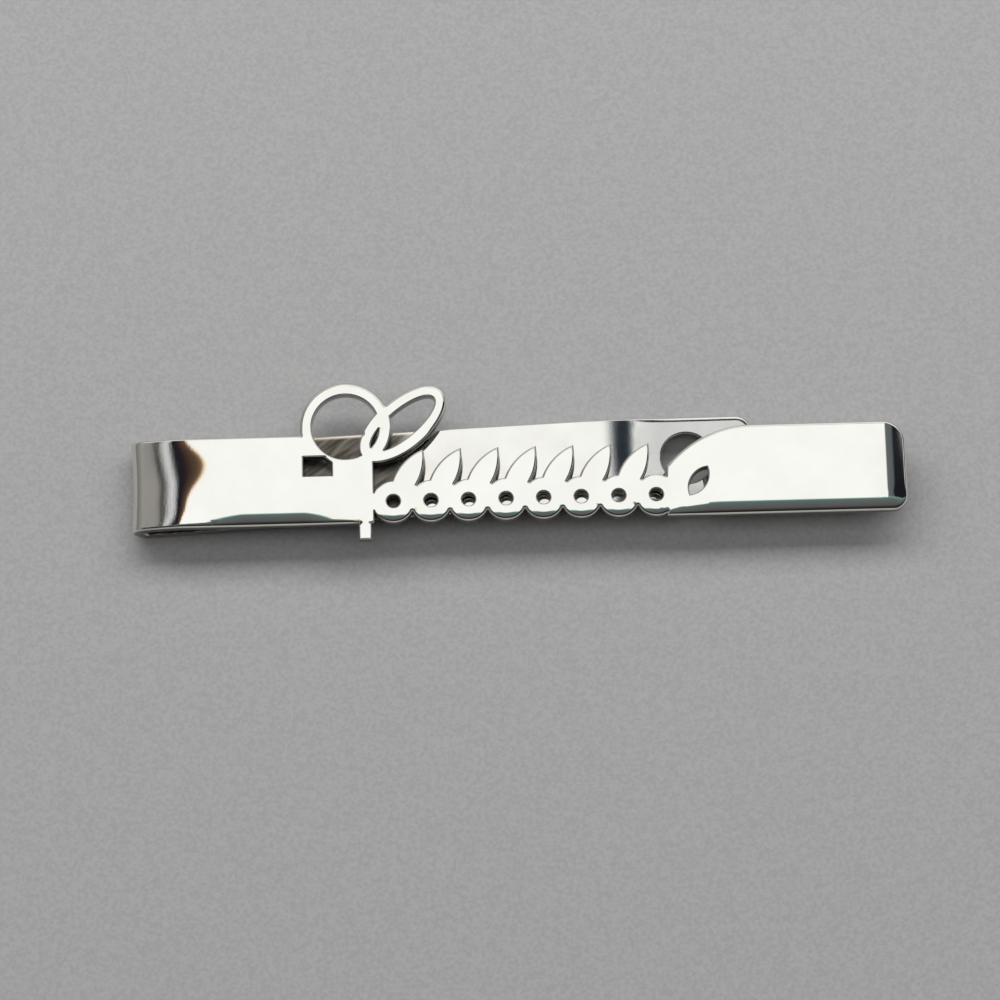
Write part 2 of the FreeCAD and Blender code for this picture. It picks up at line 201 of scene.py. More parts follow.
# Studio round the clip, as directions along the clip and across it, in degrees from straight up
studio = {
    "bright": 1.14,
    "along": [  # from the left to the right, seen by faces that lie flat or lean along the clip
        (-90, "#6a6866"), (-60, "#858380"), (-30, "#989592"), (-25.4, "#8d8a87"), (-24.6, "#3a3836"),
        (-23.0, "#403d3b"), (-22.0, "#b0afaf"), (-19.4, "#dedee2"), (-18.4, "#1c1e24"), (-14, "#221e22"),
        (-11.5, "#42332b"), (-8.2, "#574437"), (-6.4, "#7c6552"), (-5.5, "#e4c8aa"), (-4.6, "#fff4e0"),
        (-3.8, "#ffffff"),
        (5.9, "#ffffff"), (6.3, "#63686a"), (10.8, "#586063"), (12.2, "#191b20"), (60, "#191a1e"), (80, "#c8c8c8"),
    ],
    "across": [  # from the front to the back, seen by the edges that roll off
        (-90, "#8c8a86"), (-80, "#c4c3c0"), (-66, "#a4a3a1"), (-56, "#2c2827"), (-20, "#262120"), (-9, "#4e4c4d"),
        (0, "#606466"), (1.2, "#566a67"), (2.6, "#5e827d"), (3.6, "#7aa5a0"), (4.4, "#ffffff"), (40, "#ffffff"),
        (54, "#c8c8c6"), (72, "#e6e6e4"), (90, "#9a9996"),
    ],
    # black and white: where one of the others gives way to the next
    "front": [(3.0, "#000000"), (4.4, "#ffffff"), (36, "#ffffff"), (46, "#000000")],
    "sides": [(-50, "#ffffff"), (-40, "#000000"), (40, "#000000"), (50, "#ffffff")],
    "right": [(-1.2, "#000000"), (-0.4, "#ffffff")],
    "back": [(16.2, "#000000"), (16.8, "#ffffff")],
    "edge": [(19.6, "#000000"), (21.2, "#ffffff")],
    "rear": [  # further back on the right: a dark screen, then a light wall
        (3.2, "#ffffff"), (4.7, "#a8acb0"), (5.7, "#4a5058"), (6.5, "#20262e"), (9.2, "#242a32"), (10.3, "#58646a"),
        (11.0, "#fcfcfc"), (11.5, "#fcfcfc"), (11.9, "#d4d4d8"), (12.1, "#dedee0"), (40, "#d0cece"), (60, "#ffffff"),
    ],
    "rim": [(21, "#2c3038"), (25.2, "#2c3038"), (27.2, "#ffffff")],  # furthest back, seen by the tongue's rounded rim
    # light on the card: mostly from straight above
    "fill": [(-90, "#202020"), (-26, "#202020"), (-14, "#ffffff"), (14, "#ffffff"), (24, "#606060"), (90, "#303030")],
    "fillBright": 0.93,
}


def paintStudio():
    world = bpy.data.worlds.new("studio")
    scene.world = world
    world.use_nodes = True
    tree = world.node_tree
    tree.nodes.clear()
    look = addNode(tree, "ShaderNodeTexCoord").outputs["Generated"]
    parts = addNode(tree, "ShaderNodeSeparateXYZ", {0: look}).outputs
    ramps = {}
    for axis, names in ((0, ("along", "rear", "right", "sides")),
                        (1, ("across", "front", "back", "edge", "rim", "fill"))):
        angle = addNode(tree, "ShaderNodeMath", {0: parts[axis], 1: parts[2]}, operation="ARCTAN2").outputs[0]
        share = addNode(tree, "ShaderNodeMapRange", {
            "Value": angle, "From Min": -math.pi / 2, "From Max": math.pi / 2}).outputs["Result"]
        for name in names:
            ramp = addNode(tree, "ShaderNodeValToRGB", {"Fac": share})
            setStops(ramp.color_ramp, [((degrees + 90) / 180, code) for degrees, code in studio[name]])
            ramps[name] = ramp.outputs["Color"]
    behind = addNode(tree, "ShaderNodeMath", {0: ramps["back"], 1: ramps["right"]}, operation="MULTIPLY").outputs[0]
    seen = ramps["rear"]
    for share, first, second in ((ramps["edge"], None, ramps["rim"]), (behind, ramps["along"], None),
                                 (ramps["front"], ramps["across"], None), (ramps["sides"], None, ramps["along"])):
        seen = addNode(tree, "ShaderNodeMix", {
            "Factor": share, 6: first or seen, 7: second or seen}, data_type="RGBA").outputs[2]
    path = addNode(tree, "ShaderNodeLightPath").outputs
    mirror = addNode(tree, "ShaderNodeBackground", {"Color": seen, "Strength": studio["bright"]}).outputs[0]
    plain = addNode(tree, "ShaderNodeBackground", {"Color": ramps["fill"], "Strength": studio["fillBright"]}).outputs[0]
    backdrop = addNode(tree, "ShaderNodeBackground", {"Color": linear(floor["colour"]), "Strength": 1.0}).outputs[0]
    lit = addNode(tree, "ShaderNodeMixShader", {0: path["Is Glossy Ray"], 1: plain, 2: mirror}).outputs[0]
    shown = addNode(tree, "ShaderNodeMixShader", {0: path["Is Camera Ray"], 1: lit, 2: backdrop}).outputs[0]
    addNode(tree, "ShaderNodeOutputWorld", {"Surface": shown})
    print("studio painted")


paintStudio()


# Steel finishes: colours, roughness from and to and on the nose, then how deep the waves, hairlines and grain are, in
# microns; the grain also has the places along the clip where it sets in and is full, and "slotShade" the two colours of
# the painted shade in the slot and its own roughness
finishes = {
    # mirror polish: sharp reflections in a slightly wavy face, with faint hairlines, and duller where the nose was bent
    "mirrorPolishedSteel": {"colours": ("#ebebe6", "#e6e6e0"), "rough": (0.018, 0.035), "nose": 0.16,
                            "wave": 1.0, "hair": 0.15, "grain": (2.2, -24.2, -25.2)},
    # spring: polished too, but deep in the slot under the plate a painted shade, a darker grey for the plate's dark
    # underside mirrored there, with slanting streaks
    "polishedSpringSteel": {"colours": ("#e9e9e4", "#e0dfda"), "rough": (0.04, 0.07), "nose": 0.07,
                            "wave": 0.8, "hair": 0.25, "grain": (0.7, 4.0, 6.0), "slotShade": ("#5f5c55", "#9d998f", 0.3)},
    # cut sides of the strip: a dull grey line with fine marks along it
    "cutEdgeSteel": {"colours": ("#a5a29e", "#878481"), "rough": (0.14, 0.24), "nose": 0.24,
                     "wave": 2.0, "hair": 1.5, "grain": (1.0, -24.2, -25.2)},
}

marks = {
    # per mm: waves 8 mm long, patches of 3 mm, hairlines 4 mm long and 0.1 mm apart, coarser than real ones so that
    # they show, and grain of 0.1 mm
    "wave": 0.13, "patch": 0.3, "hair": (0.25, 9.0, 9.0), "grain": 9.0, "spread": (0.35, 0.68),
    # slanting streaks in the painted slot shade: their slant in radians, then their length and width in mm
    "slant": 0.6, "slantSize": (2.2, 0.3, 1),
    # zones in mm, from none to full: the dull nose, and the painted shade on the tongue under the plate, which keeps
    # off its skewed rim
    "nose": (-28.0, -28.7), "slot": (-7.2, -9.4), "slotRim": (4.2, 4.0), "rimSkew": -0.028,
}
micron = 1e-6


def makeFinish(name):
    finish = finishes[name]
    steel = bpy.data.materials.new(name)
    steel.use_nodes = True
    tree = steel.node_tree
    shader = tree.nodes["Principled BSDF"]
    shader.inputs["Metallic"].default_value = 1.0
    place = addNode(tree, "ShaderNodeTexCoord").outputs["Object"]
    inMm = addNode(tree, "ShaderNodeMapping", {"Vector": place, "Scale": (1000, 1000, 1000)}).outputs[0]
    patch = addNode(tree, "ShaderNodeTexNoise", {
        "Vector": inMm, "Scale": marks["patch"], "Detail": 4.0}).outputs["Fac"]
    low, high = marks["spread"]
    share = addNode(tree, "ShaderNodeMapRange", {"Value": patch, "From Min": low, "From Max": high}).outputs["Result"]
    light, dark = (linear(code) for code in finish["colours"])
    tint = addNode(tree, "ShaderNodeMix", {"Factor": share, 6: light, 7: dark}, data_type="RGBA").outputs[2]
    rough = addNode(tree, "ShaderNodeMapRange", {
        "Value": share, "To Min": finish["rough"][0], "To Max": finish["rough"][1]}).outputs["Result"]
    along, across = addNode(tree, "ShaderNodeSeparateXYZ", {0: inMm}).outputs[:2]
    onNose = addNode(tree, "ShaderNodeMapRange", {
        "Value": along, "From Min": marks["nose"][0], "From Max": marks["nose"][1]}).outputs["Result"]
    rough = addNode(tree, "ShaderNodeMix", {0: onNose, 2: rough, 3: finish["nose"]}).outputs[0]
    # painted shade: under the plate the tongue gets a darker grey base colour with slanting streaks, for the plate's
    # dark underside mirrored there
    if "slotShade" in finish:
        slant = addNode(tree, "ShaderNodeMapping", {
            "Vector": inMm, "Rotation": (0, 0, marks["slant"]), "Scale": marks["slantSize"]},
            vector_type="TEXTURE").outputs[0]
        shadeStreaks = addNode(tree, "ShaderNodeTexNoise", {"Vector": slant, "Scale": 1.0, "Detail": 3.0}).outputs["Fac"]
        depth = addNode(tree, "ShaderNodeMapRange", {
            "Value": shadeStreaks, "From Min": low, "From Max": high}).outputs["Result"]
        dark, light = (linear(code) for code in finish["slotShade"][:2])
        paintedShade = addNode(tree, "ShaderNodeMix", {"Factor": depth, 6: dark, 7: light}, data_type="RGBA").outputs[2]
        inSlot = addNode(tree, "ShaderNodeMapRange", {
            "Value": along, "From Min": marks["slot"][0], "From Max": marks["slot"][1]}).outputs["Result"]
        fromRim = addNode(tree, "ShaderNodeMath", {
            0: along, 1: marks["rimSkew"], 2: across}, operation="MULTIPLY_ADD").outputs[0]
        within = addNode(tree, "ShaderNodeMapRange", {
            "Value": fromRim, "From Min": marks["slotRim"][0], "From Max": marks["slotRim"][1]}).outputs["Result"]
        inSlot = addNode(tree, "ShaderNodeMath", {0: inSlot, 1: within}, operation="MULTIPLY").outputs[0]
        tint = addNode(tree, "ShaderNodeMix", {"Factor": inSlot, 6: tint, 7: paintedShade}, data_type="RGBA").outputs[2]
        rough = addNode(tree, "ShaderNodeMix", {0: inSlot, 2: rough, 3: finish["slotShade"][2]}).outputs[0]
    wave = addNode(tree, "ShaderNodeTexNoise", {"Vector": inMm, "Scale": marks["wave"], "Detail": 0.0}).outputs["Fac"]
    lines = addNode(tree, "ShaderNodeMapping", {"Vector": inMm, "Scale": marks["hair"]}).outputs[0]
    hair = addNode(tree, "ShaderNodeTexNoise", {"Vector": lines, "Scale": 1.0, "Detail": 3.0}).outputs["Fac"]
    grain = addNode(tree, "ShaderNodeTexNoise", {"Vector": inMm, "Scale": marks["grain"], "Detail": 3.0}).outputs["Fac"]
    deep, setsIn, full = finish["grain"]
    grained = addNode(tree, "ShaderNodeMapRange", {
        "Value": along, "From Min": setsIn, "From Max": full}).outputs["Result"]
    bump = addNode(tree, "ShaderNodeBump", {"Height": wave, "Distance": finish["wave"] * micron}).outputs["Normal"]
    bump = addNode(tree, "ShaderNodeBump", {
        "Height": hair, "Distance": finish["hair"] * micron, "Normal": bump}).outputs["Normal"]
    bump = addNode(tree, "ShaderNodeBump", {
        "Height": grain, "Strength": grained, "Distance": deep * micron, "Normal": bump}).outputs["Normal"]
    for source, socket in ((tint, "Base Color"), (rough, "Roughness"), (bump, "Normal")):
        tree.links.new(source, shader.inputs[socket])
    return steel


polished, spring, cutEdge = (makeFinish(name) for name in finishes)

# Edges: a crisp rounding, rows in degrees round from the face, then a shallow roll-off, rows as parts of its width
crispRows = (0, 24, 48, 70)
rollRows = (0.22, 0.34, 0.46, 0.58, 0.7, 0.8, 0.9, 1.0)
flatRow = 1.15  # the first row on the flat, as a part of the width or radius
rowRules = {
    "reach": 0.5, "shallowest": 0.003,  # how near the outline counts, and the least roll-off that gets rows, in mm
    "pastRadius": 1.3,  # roll-off rows start this many radii in
    "notch": -0.5, "fan": 0.25,  # turn at which the rows fan out, and the angle between them, in radians
    "sharpest": 0.3, "longest": 2.0,  # limits on how far a corner moves a row
    "keepsOff": 0.93, "decimals": 2, "sliver": 1e-7,  # rows that come too near another edge, doubles and slivers go
}


def edgeDrop(points, starts, ends, rolls):  # depth below the flat face, and distance to the outline when it is near
    crisp, shallow, close = np.zeros(len(points)), np.zeros(len(points)), np.full(len(points), 9.0)
    order = np.argsort(points[:, 0])
    places = points[order, 0]
    for a, b, roll in zip(starts, ends, rolls):
        reach = max(1.2 * roll[:, :2].max(), rowRules["reach"])
        first, last = np.searchsorted(places, (min(a[0], b[0]) - reach, max(a[0], b[0]) + reach))
        near = order[first:last]
        run = b - a
        t = np.clip((points[near] - a) @ run / (run @ run), 0, 1)
        gap = np.hypot(*(points[near] - a - t[:, None] * run).T)
        close[near] = np.minimum(close[near], gap)
        radius, width, drop = (roll[0][k] + (roll[1][k] - roll[0][k]) * t for k in range(3))
        if roll[:, 0].max() > 0:
            share = np.clip(1 - gap / np.maximum(radius, 1e-6), 0, 1)
            crisp[near] = np.maximum(crisp[near], radius * (1 - np.sqrt(1 - share ** 2)))
        if roll[:, 2].max() > 0:
            share = np.clip(1 - gap / np.maximum(width, 1e-6), 0, 1)
            shallow[near] = np.maximum(shallow[near], drop * share ** 2)
    return crisp + shallow, close


def inOutline(points, starts, ends):  # even-odd test against every loop of the outline
    hits = np.zeros(len(points), int)
    order = np.argsort(points[:, 1])
    places = points[order, 1]
    for (ax, ay), (bx, by) in zip(starts, ends):
        first, last = np.searchsorted(places, (min(ay, by), max(ay, by)))
        near = order[first:last]
        if len(near):
            hits[near] += points[near, 0] < ax + (points[near, 1] - ay) / (by - ay) * (bx - ax)
    return hits % 2 == 1


def edgeRows(loop, roll):  # points in rows along a loop's rounded edge, with their distances from it
    points, gaps = [], []
    run = np.roll(loop, -1, 0) - loop
    run /= np.hypot(*run.T)[:, None]
    before = np.roll(run, 1, 0)
    for i in range(len(loop)):
        radius, width, drop = np.maximum(roll[i][0], roll[i - 1][1])
        if min(roll[i][0][0], roll[i - 1][1][0]) == 0:  # the seam has its own rows
            continue
        rows = [radius * (1 - math.sin(math.radians(row))) for row in crispRows]
        if drop > rowRules["shallowest"]:
            rows += [width * part for part in rollRows if width * part > rowRules["pastRadius"] * radius]
        rows.append(max(rows) * flatRow)
        inBefore, inAfter = np.array((-before[i][1], before[i][0])), np.array((-run[i][1], run[i][0]))
        turn = math.atan2(before[i][0] * run[i][1] - before[i][1] * run[i][0], before[i] @ run[i])
        ways = [inBefore + inAfter]
        if turn < rowRules["notch"]:  # the rows fan round it
            count = int(-turn / rowRules["fan"]) + 1
            ways = [inBefore + (inAfter - inBefore) * k / count for k in range(count + 1)]
        stretch = min(1 / max(math.cos(turn / 2), rowRules["sharpest"]), rowRules["longest"] if turn > 0 else 1)
        for way in ways:
            way = way / np.hypot(*way) * stretch
            points += [loop[i] + way * row for row in rows]
            gaps += rows
    return points, gaps


def bothEnds(loops):  # where every edge of the outline starts and ends
    return np.vstack(loops), np.vstack([np.roll(loop, -1, 0) for loop in loops])


def layer(loops, rolls, spare):  # one face of a sheet: outline, edge rows and the flat between, as triangles
    starts, ends = bothEnds(loops)
    edges = np.vstack(rolls)
    rows = [edgeRows(loop, roll) for loop, roll in zip(loops, rolls)]
    rowPoints = np.array([point for row in rows for point in row[0]])
    rowGaps = np.array([gap for row in rows for gap in row[1]])
    close = edgeDrop(rowPoints, starts, ends, edges)[1]
    rowPoints = rowPoints[(close > rowRules["keepsOff"] * rowGaps) & inOutline(rowPoints, starts, ends)]
    rowPoints = rowPoints[np.unique(np.round(rowPoints, rowRules["decimals"]), axis=0, return_index=True)[1]]
    points = np.vstack([starts, rowPoints, spare])
    ring, first = [], 0
    for loop in loops:
        ring += [(first + i, first + (i + 1) % len(loop)) for i in range(len(loop))]
        first += len(loop)
    made = delaunay_2d_cdt([Vector(p) for p in points], ring, [], 2, rowRules["sliver"])
    flat = np.array([tuple(v) for v in made[0]])
    triangles = np.array([f for f in made[2] if len(f) == 3])
    one, two, three = (flat[triangles[:, k]] for k in range(3))
    area = (two - one)[:, 0] * (three - one)[:, 1] - (two - one)[:, 1] * (three - one)[:, 0]
    triangles = triangles[(area > rowRules["sliver"]) & inOutline((one + two + three) / 3, starts, ends)]
    low = edgeDrop(flat, starts, ends, edges)[0]
    place = {source: index for index, sources in enumerate(made[3]) for source in sources}
    return flat, low, triangles, [(place[a], place[b]) for a, b in ring]


def sheetSolid(name, loops, frontRolls, backRolls, spare):  # a sheet from its outline, back at 0, with cut walls
    front = layer(loops, frontRolls, spare)
    back = layer(loops, backRolls, spare)
    points = [(x, y, strip["thickness"] - low) for (x, y), low in zip(front[0], front[1])]
    count = len(points)
    points += [(x, y, low) for (x, y), low in zip(back[0], back[1])]
    faces = [tuple(f) for f in front[2]] + [(a + count, c + count, b + count) for a, b, c in back[2]]
    flatCount = len(faces)
    for (a, b), (c, d) in zip(front[3], back[3]):
        faces.append((a, c + count, d + count, b))
    piece = newPiece(name, np.array(points) * mm, [tuple(int(i) for i in f) for f in faces])
    piece.data.polygons.foreach_set("material_index", [0] * flatCount + [1] * (len(faces) - flatCount))
    return piece


def sharedEnds(values, skip):  # per-edge values to the values at both ends of each edge, joined along the loop
    count = len(values)
    both = np.zeros((count, 2, 3))
    for i in range(count):
        if not skip[i]:
            p, n = (i - 1) % count, (i + 1) % count
            both[i] = (values[i] if skip[p] else (values[p] + values[i]) / 2,
                       values[i] if skip[n] else (values[n] + values[i]) / 2)
    return both


# Strip: the section that the three pieces share, with its outer and its inner rounding; "lens" is the width and depth
# of the roll-off on the lower left edge, and "swell" how much of that depth it has along the clip
strip = {
    "halfWidth": 3.55, "thickness": 1.0, "outer": 0.2, "inner": 0.1,
    "lens": (1.6, 0.19), "swell": [(-27.5, 0), (-24.2, 0.52), (-21.4, 1), (-16.5, 1), (-12.4, 0.1)],
}


def cornerRows(radius):  # places across the strip, and depths, of the rows of one crisp edge
    turns = [math.radians(row) for row in crispRows + (90,)]
    return [(strip["halfWidth"] - radius * (1 - math.sin(turn)), radius * (1 - math.cos(turn))) for turn in turns]


def seamRows():  # places across the strip where the edge rows meet a seam
    rows = [y for radius in (strip["outer"], strip["inner"]) for y, depth in cornerRows(radius)[:-1]]
    rolled = [strip["halfWidth"] - strip["lens"][0] * part for part in rollRows + (flatRow,)]
    rows.append(strip["halfWidth"] - strip["outer"] * flatRow)
    return sorted([-y for y in rows + rolled] + rows)


def easeIn(share):  # a smooth step from 0 to 1
    share = min(1, max(0, share))
    return share * share * (3 - 2 * share)


def softly(at, stops, blur):  # a value between (place, value) stops, averaged over a short length
    places, values = zip(*stops)
    return np.mean([np.interp(at + shift, places, values) for shift in np.linspace(-blur, blur, 9)])


def lensDrop(x):  # depth of the roll-off on the lower edge, which swells from the fold and dies out by the ornament
    return strip["lens"][1] * softly(x, strip["swell"], 0.2)


# Face plate: the pierced front leg, from the outline of the CAD plate's back
plate = {  # each edge: radius of its rounding, then width and depth of its roll-off
    "hole": (0.1, 0, 0), "leaf": (0.14, 0, 0), "peg": (0.08, 0, 0), "loop": (0.22, 0, 0), "bud": (0.16, 1.0, 0.11),
    "upper": (0.2, 0, 0), "lower": (0.2, 1.66, 0.196),
    # places along the clip, and the height under which the buds roll off
    "leftEnd": -11.2, "pegStart": -12.9, "budStart": -10.9, "lastBud": 10.7, "rightStart": 11.4, "sweepEnd": 18.3,
    "endStart": 27.5, "budTop": -1.7,
    # by the peg the rounding is sharper by this share, over this length; the lower roll-off grows over "rightRun"
    "pegSharper": (0.6, 0.6), "rightRun": 4.0,
    # the front's roll-off to the right end, width and depth, with a grid of points (from, to, step) clear of the edges
    "end": (1.65, 0.12), "endGrid": ((28.2, 29.8, 0.11), (-3.0, 3.3, 0.22)), "endClear": 0.27,
    # longest step along an edge, and how an outline is read: its corners, long edges and the margin for a match
    "step": 0.3, "corner": 0.42, "long": 1.2, "longer": 3, "margin": 0.02, "smoothings": 4,
}
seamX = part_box("face_plate")[0].x / mm  # where the plate meets the fold


def plateOutline():  # the loops round the back face of the CAD plate, in mm
    sheet = bpy.data.objects.new("plateOutline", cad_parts["face_plate"].data.copy())
    scene.collection.objects.link(sheet)
    only(sheet)
    bpy.ops.object.mode_set(mode="EDIT")
    bpy.ops.mesh.select_all(action="SELECT")
    bpy.ops.mesh.remove_doubles(threshold=1e-6)
    bpy.ops.object.mode_set(mode="OBJECT")
    links = set()
    for face in sheet.data.polygons:
        if face.normal.z < -0.99 and face.center.z < 1e-5:
            ring = list(face.vertices)[::-1]
            for a, b in zip(ring, ring[1:] + ring[:1]):
                if (b, a) in links:
                    links.remove((b, a))
                else:
                    links.add((a, b))
    after = dict(links)
    loops = []
    while after:
        start, here = next(iter(after.items()))
        loop = [start]
        del after[start]
        while here != start:
            loop.append(here)
            here = after.pop(here)
        loops.append(np.array([sheet.data.vertices[i].co[:2] for i in loop]) / mm)
    mesh = sheet.data
    bpy.data.objects.remove(sheet)
    bpy.data.meshes.remove(mesh)
    return loops


def fairLoop(loop, step, cuts):  # rounds the facets between corners and divides the long straight edges
    count = len(loop)
    run = np.roll(loop, -1, 0) - loop
    length = np.hypot(*run.T)
    way = run / length[:, None]
    turns = [math.atan2(a[0] * b[1] - a[1] * b[0], a @ b) for a, b in zip(np.roll(way, 1, 0), way)]
    fair = []
    for i in range(count):
        n = (i + 1) % count
        fair.append(loop[i])
        turned = abs(turns[i]), abs(turns[n])
        bent = max(turned) < plate["corner"] and sum(turned) > 1e-3
        straight = length[i] > plate["longer"] * max(length[i - 1], length[n]) or length[i] > plate["long"]
        if bent and not straight:
            lean = []
            for other in (i - 1, n):
                far = length[other]
                if far > plate["longer"] * length[i] or far > plate["long"]:
                    lean.append(way[other])
                else:
                    mix = way[i] * far + way[other] * length[i]
                    lean.append(mix / np.hypot(*mix))
            for t in (1 / 3, 2 / 3):
                s = 1 - t
                fair.append(loop[i] * s * s * (1 + 2 * t) + loop[n] * t * t * (1 + 2 * s)
                            + lean[0] * length[i] * t * s * s - lean[1] * length[i] * t * t * s)
        elif abs(way[i][0]) < 1e-3 and abs(loop[i][0] - seamX) < 1e-3:
            for c in (cuts if way[i][1] > 0 else cuts[::-1]):
                fair.append(np.array((loop[i][0], c)))
        else:
            parts = max(1, math.ceil(length[i] / step))
            fair += [loop[i] + run[i] * k / parts for k in range(1, parts)]
    return np.array(fair)


def plateRolls(loops):  # the rounding and roll-off of each edge of the plate's front
    rolls = []
    for loop in loops:
        after = np.roll(loop, -1, 0)
        middle = (loop + after) / 2
        run = (after - loop) / np.hypot(*(after - loop).T)[:, None]
        pierced = loop[:, 0] @ after[:, 1] - loop[:, 1] @ after[:, 0] < 0
        values, skip = np.zeros((len(loop), 3)), np.abs(middle[:, 0] - seamX) < 1e-3
        for i, ((x, y), (ny, nx)) in enumerate(zip(middle, run * (-1, 1))):
            onEdge = abs(abs(y) - strip["halfWidth"]) < plate["margin"] and abs(ny) > 0.98
            side = np.array(plate["upper" if y > 0 else "lower"])
            bud = np.array(plate["bud"])
            if pierced:
                values[i] = plate["hole"]
            elif x > plate["endStart"]:
                values[i] = side * (1, 1, 1 - max(nx, 0) ** 2)
            elif onEdge and x > plate["rightStart"] + plate["step"]:
                share = easeIn((x - plate["rightStart"]) / plate["rightRun"]) if y < 0 else 1
                values[i] = bud * (1 - share) + side * share
            elif y > strip["halfWidth"] + plate["margin"]:
                values[i] = plate["loop"]
            elif plate["rightStart"] < x < plate["sweepEnd"] and y > 0:
                values[i] = plate["upper"]
            elif -strip["halfWidth"] - 0.05 < y < plate["budTop"] and ny < -0.15 and x > plate["budStart"]:
                values[i] = bud * (1, 1, ny * ny if x < plate["lastBud"] else 1)
            else:
                values[i] = plate["peg" if x < plate["budStart"] else "leaf"]
        for smoothing in range(plate["smoothings"]):
            values = values / 2 + (np.roll(values, 1, 0) + np.roll(values, -1, 0)) / 4
        both = sharedEnds(np.where(skip[:, None], 0, values), skip)
        onEdges = np.abs(np.abs(middle[:, 1]) - strip["halfWidth"]) < plate["margin"]
        share, length = plate["pegSharper"]
        for i in np.flatnonzero((middle[:, 0] < plate["leftEnd"]) & onEdges & ~skip):
            for k, (x, y) in enumerate((loop[i], after[i])):
                sharper = share * easeIn((x - plate["pegStart"]) / length) if y < 0 else 0
                both[i][k] = strip["outer"] * (1 - sharper), strip["lens"][0], lensDrop(x) if y < 0 else 0
        rolls.append(both)
    return rolls


def makePlate():
    loops = [fairLoop(loop, plate["step"], seamRows()) for loop in plateOutline()]
    fronts = plateRolls(loops)
    backs = [np.where(roll[:, :, :1] > 0, (strip["inner"], 0, 0), 0.0) for roll in fronts]
    starts, ends = bothEnds(loops)
    columns, rows = (np.arange(*limits) for limits in plate["endGrid"])
    spare = np.array([(x, y) for x in columns for y in rows])
    close = edgeDrop(spare, starts, ends, np.vstack(fronts))[1]
    spare = spare[(close > plate["endClear"]) & inOutline(spare, starts, ends)]
    piece = sheetSolid("facePlate", loops, fronts, backs, spare)
    endX, (width, drop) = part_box("face_plate")[1].x / mm, plate["end"]
    for vertex in piece.data.vertices:  # rolls the front off towards the right end
        if vertex.co.z > strip["thickness"] / 2 * mm:
            vertex.co.z -= drop * max(0, 1 - (endX - vertex.co.x / mm) / width) ** 2 * mm
    closeUp(piece, polished)
    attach(piece, "face")
    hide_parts("face_plate")
    print("face plate", len(piece.data.vertices), "points", len(loops), "loops")


makePlate()


# Fold: a gentle shoulder, then the tight nose that springs
fold = {
    "shoulderCentre": (-23.78681, -23.0), "shoulderTurn": 12.5, "shoulderSteps": 60,
    "noseCentre": (-28.7, -0.838081), "noseTurn": 169.081565, "noseSteps": 72, "bendFrom": 0.0, "bendTo": -1.138,
    "across": 34, "bow": 0.12, "cutSide": 0.999,
    # how late the shoulder bends: where it starts, from the lower edge to the upper, where it has caught up, how far
    # it lags there and how long before the nose that ends; then the turn of the nose over which the lift dies out
    "onset": [(-3.55, 2.35), (-2.9, 2.17), (-2.25, 1.9), (-1.5, 1.72), (-0.8, 1.44), (-0.2, 0.96), (0.4, 0.41),
              (1.0, 0.07), (1.6, 0.0), (2.2, 0.4), (2.8, 1.2), (3.55, 1.92)],
    "settled": (2.5, 0.25, 0.6), "lag": (-0.5, 0.45), "lagEnd": 0.8, "level": (60, 150), "samples": 200,
}


def foldSection():  # points (across, out) round the strip's section
    flat = np.linspace(-1, 1, fold["across"] + 1)[1:-1]
    half = [(y, strip["thickness"] - depth) for y, depth in cornerRows(strip["outer"])]
    half += [(y, depth) for y, depth in cornerRows(strip["inner"])[::-1]]
    inside = [(y * (strip["halfWidth"] - strip["inner"]), 0.0) for y in flat[::-1]]
    outside = sorted([(y * (strip["halfWidth"] - strip["outer"]), strip["thickness"]) for y in flat]
                     + [(strip["lens"][0] * part - strip["halfWidth"], strip["thickness"]) for part in rollRows])
    return half + inside + [(-y, z) for y, z in half[::-1]] + outside


def shoulderLift(across):  # how far the shoulder lies above a plain bend, at steps along it: it starts to bend later
    radius = strip["thickness"] - fold["shoulderCentre"][1]
    reach = radius * math.radians(fold["shoulderTurn"])
    along = np.linspace(0, reach, fold["samples"])
    onset = softly(across, fold["onset"], 0.25)
    side = across / strip["halfWidth"]
    lag = fold["lag"][0] + fold["lag"][1] * max(0, side)
    settled = fold["settled"][0] + fold["settled"][1 if side < 0 else 2] * side ** 2
    slope = (along - lag * np.clip((reach - along) / fold["lagEnd"], 0, 1)) / radius
    early = (along - onset) / (settled - onset) * (settled - lag) / radius
    slope = np.where(along < settled, np.clip(early, 0, None), slope)
    gain = along / radius - slope
    lift = np.concatenate(([0], np.cumsum((gain[1:] + gain[:-1]) / 2 * np.diff(along))))
    return along, lift


def dishFold(piece):  # bends the shoulder late towards its edges, and carries that round the nose until it dies out
    radius = strip["thickness"] - fold["shoulderCentre"][1]
    lifts = {}
    for vertex in piece.data.vertices:
        x, y, z = vertex.co / mm
        row = round(y, 4)
        if row not in lifts:
            lifts[row] = shoulderLift(row)
        along, lift = lifts[row]
        armX, armZ = x - fold["shoulderCentre"][0], z - fold["shoulderCentre"][1]
        noseX, noseZ = x - fold["noseCentre"][0], z - fold["noseCentre"][1]
        lean, out = math.atan2(-armX, armZ), math.hypot(armX, armZ)
        if lean < math.radians(fold["shoulderTurn"] + 0.01) and out > radius - strip["thickness"] - 0.02:
            share = np.interp(radius * lean, along, lift)
            if out > radius - strip["thickness"] / 2:
                share -= lensDrop(x) * max(0, 1 - (y + strip["halfWidth"]) / strip["lens"][0]) ** 2
        else:
            turned = math.degrees(math.atan2(-noseX, noseZ)) % 360 - fold["shoulderTurn"]
            first, last = fold["level"]
            share = lift[-1] * min(1, max(0, (last - turned) / (last - first)))
            hollow = 1 - (y / strip["halfWidth"]) ** 2
            vertex.co.x += fold["bow"] * hollow * math.sin(math.pi * min(1, max(0, turned / fold["noseTurn"]))) * mm
        vertex.co.z += share * mm


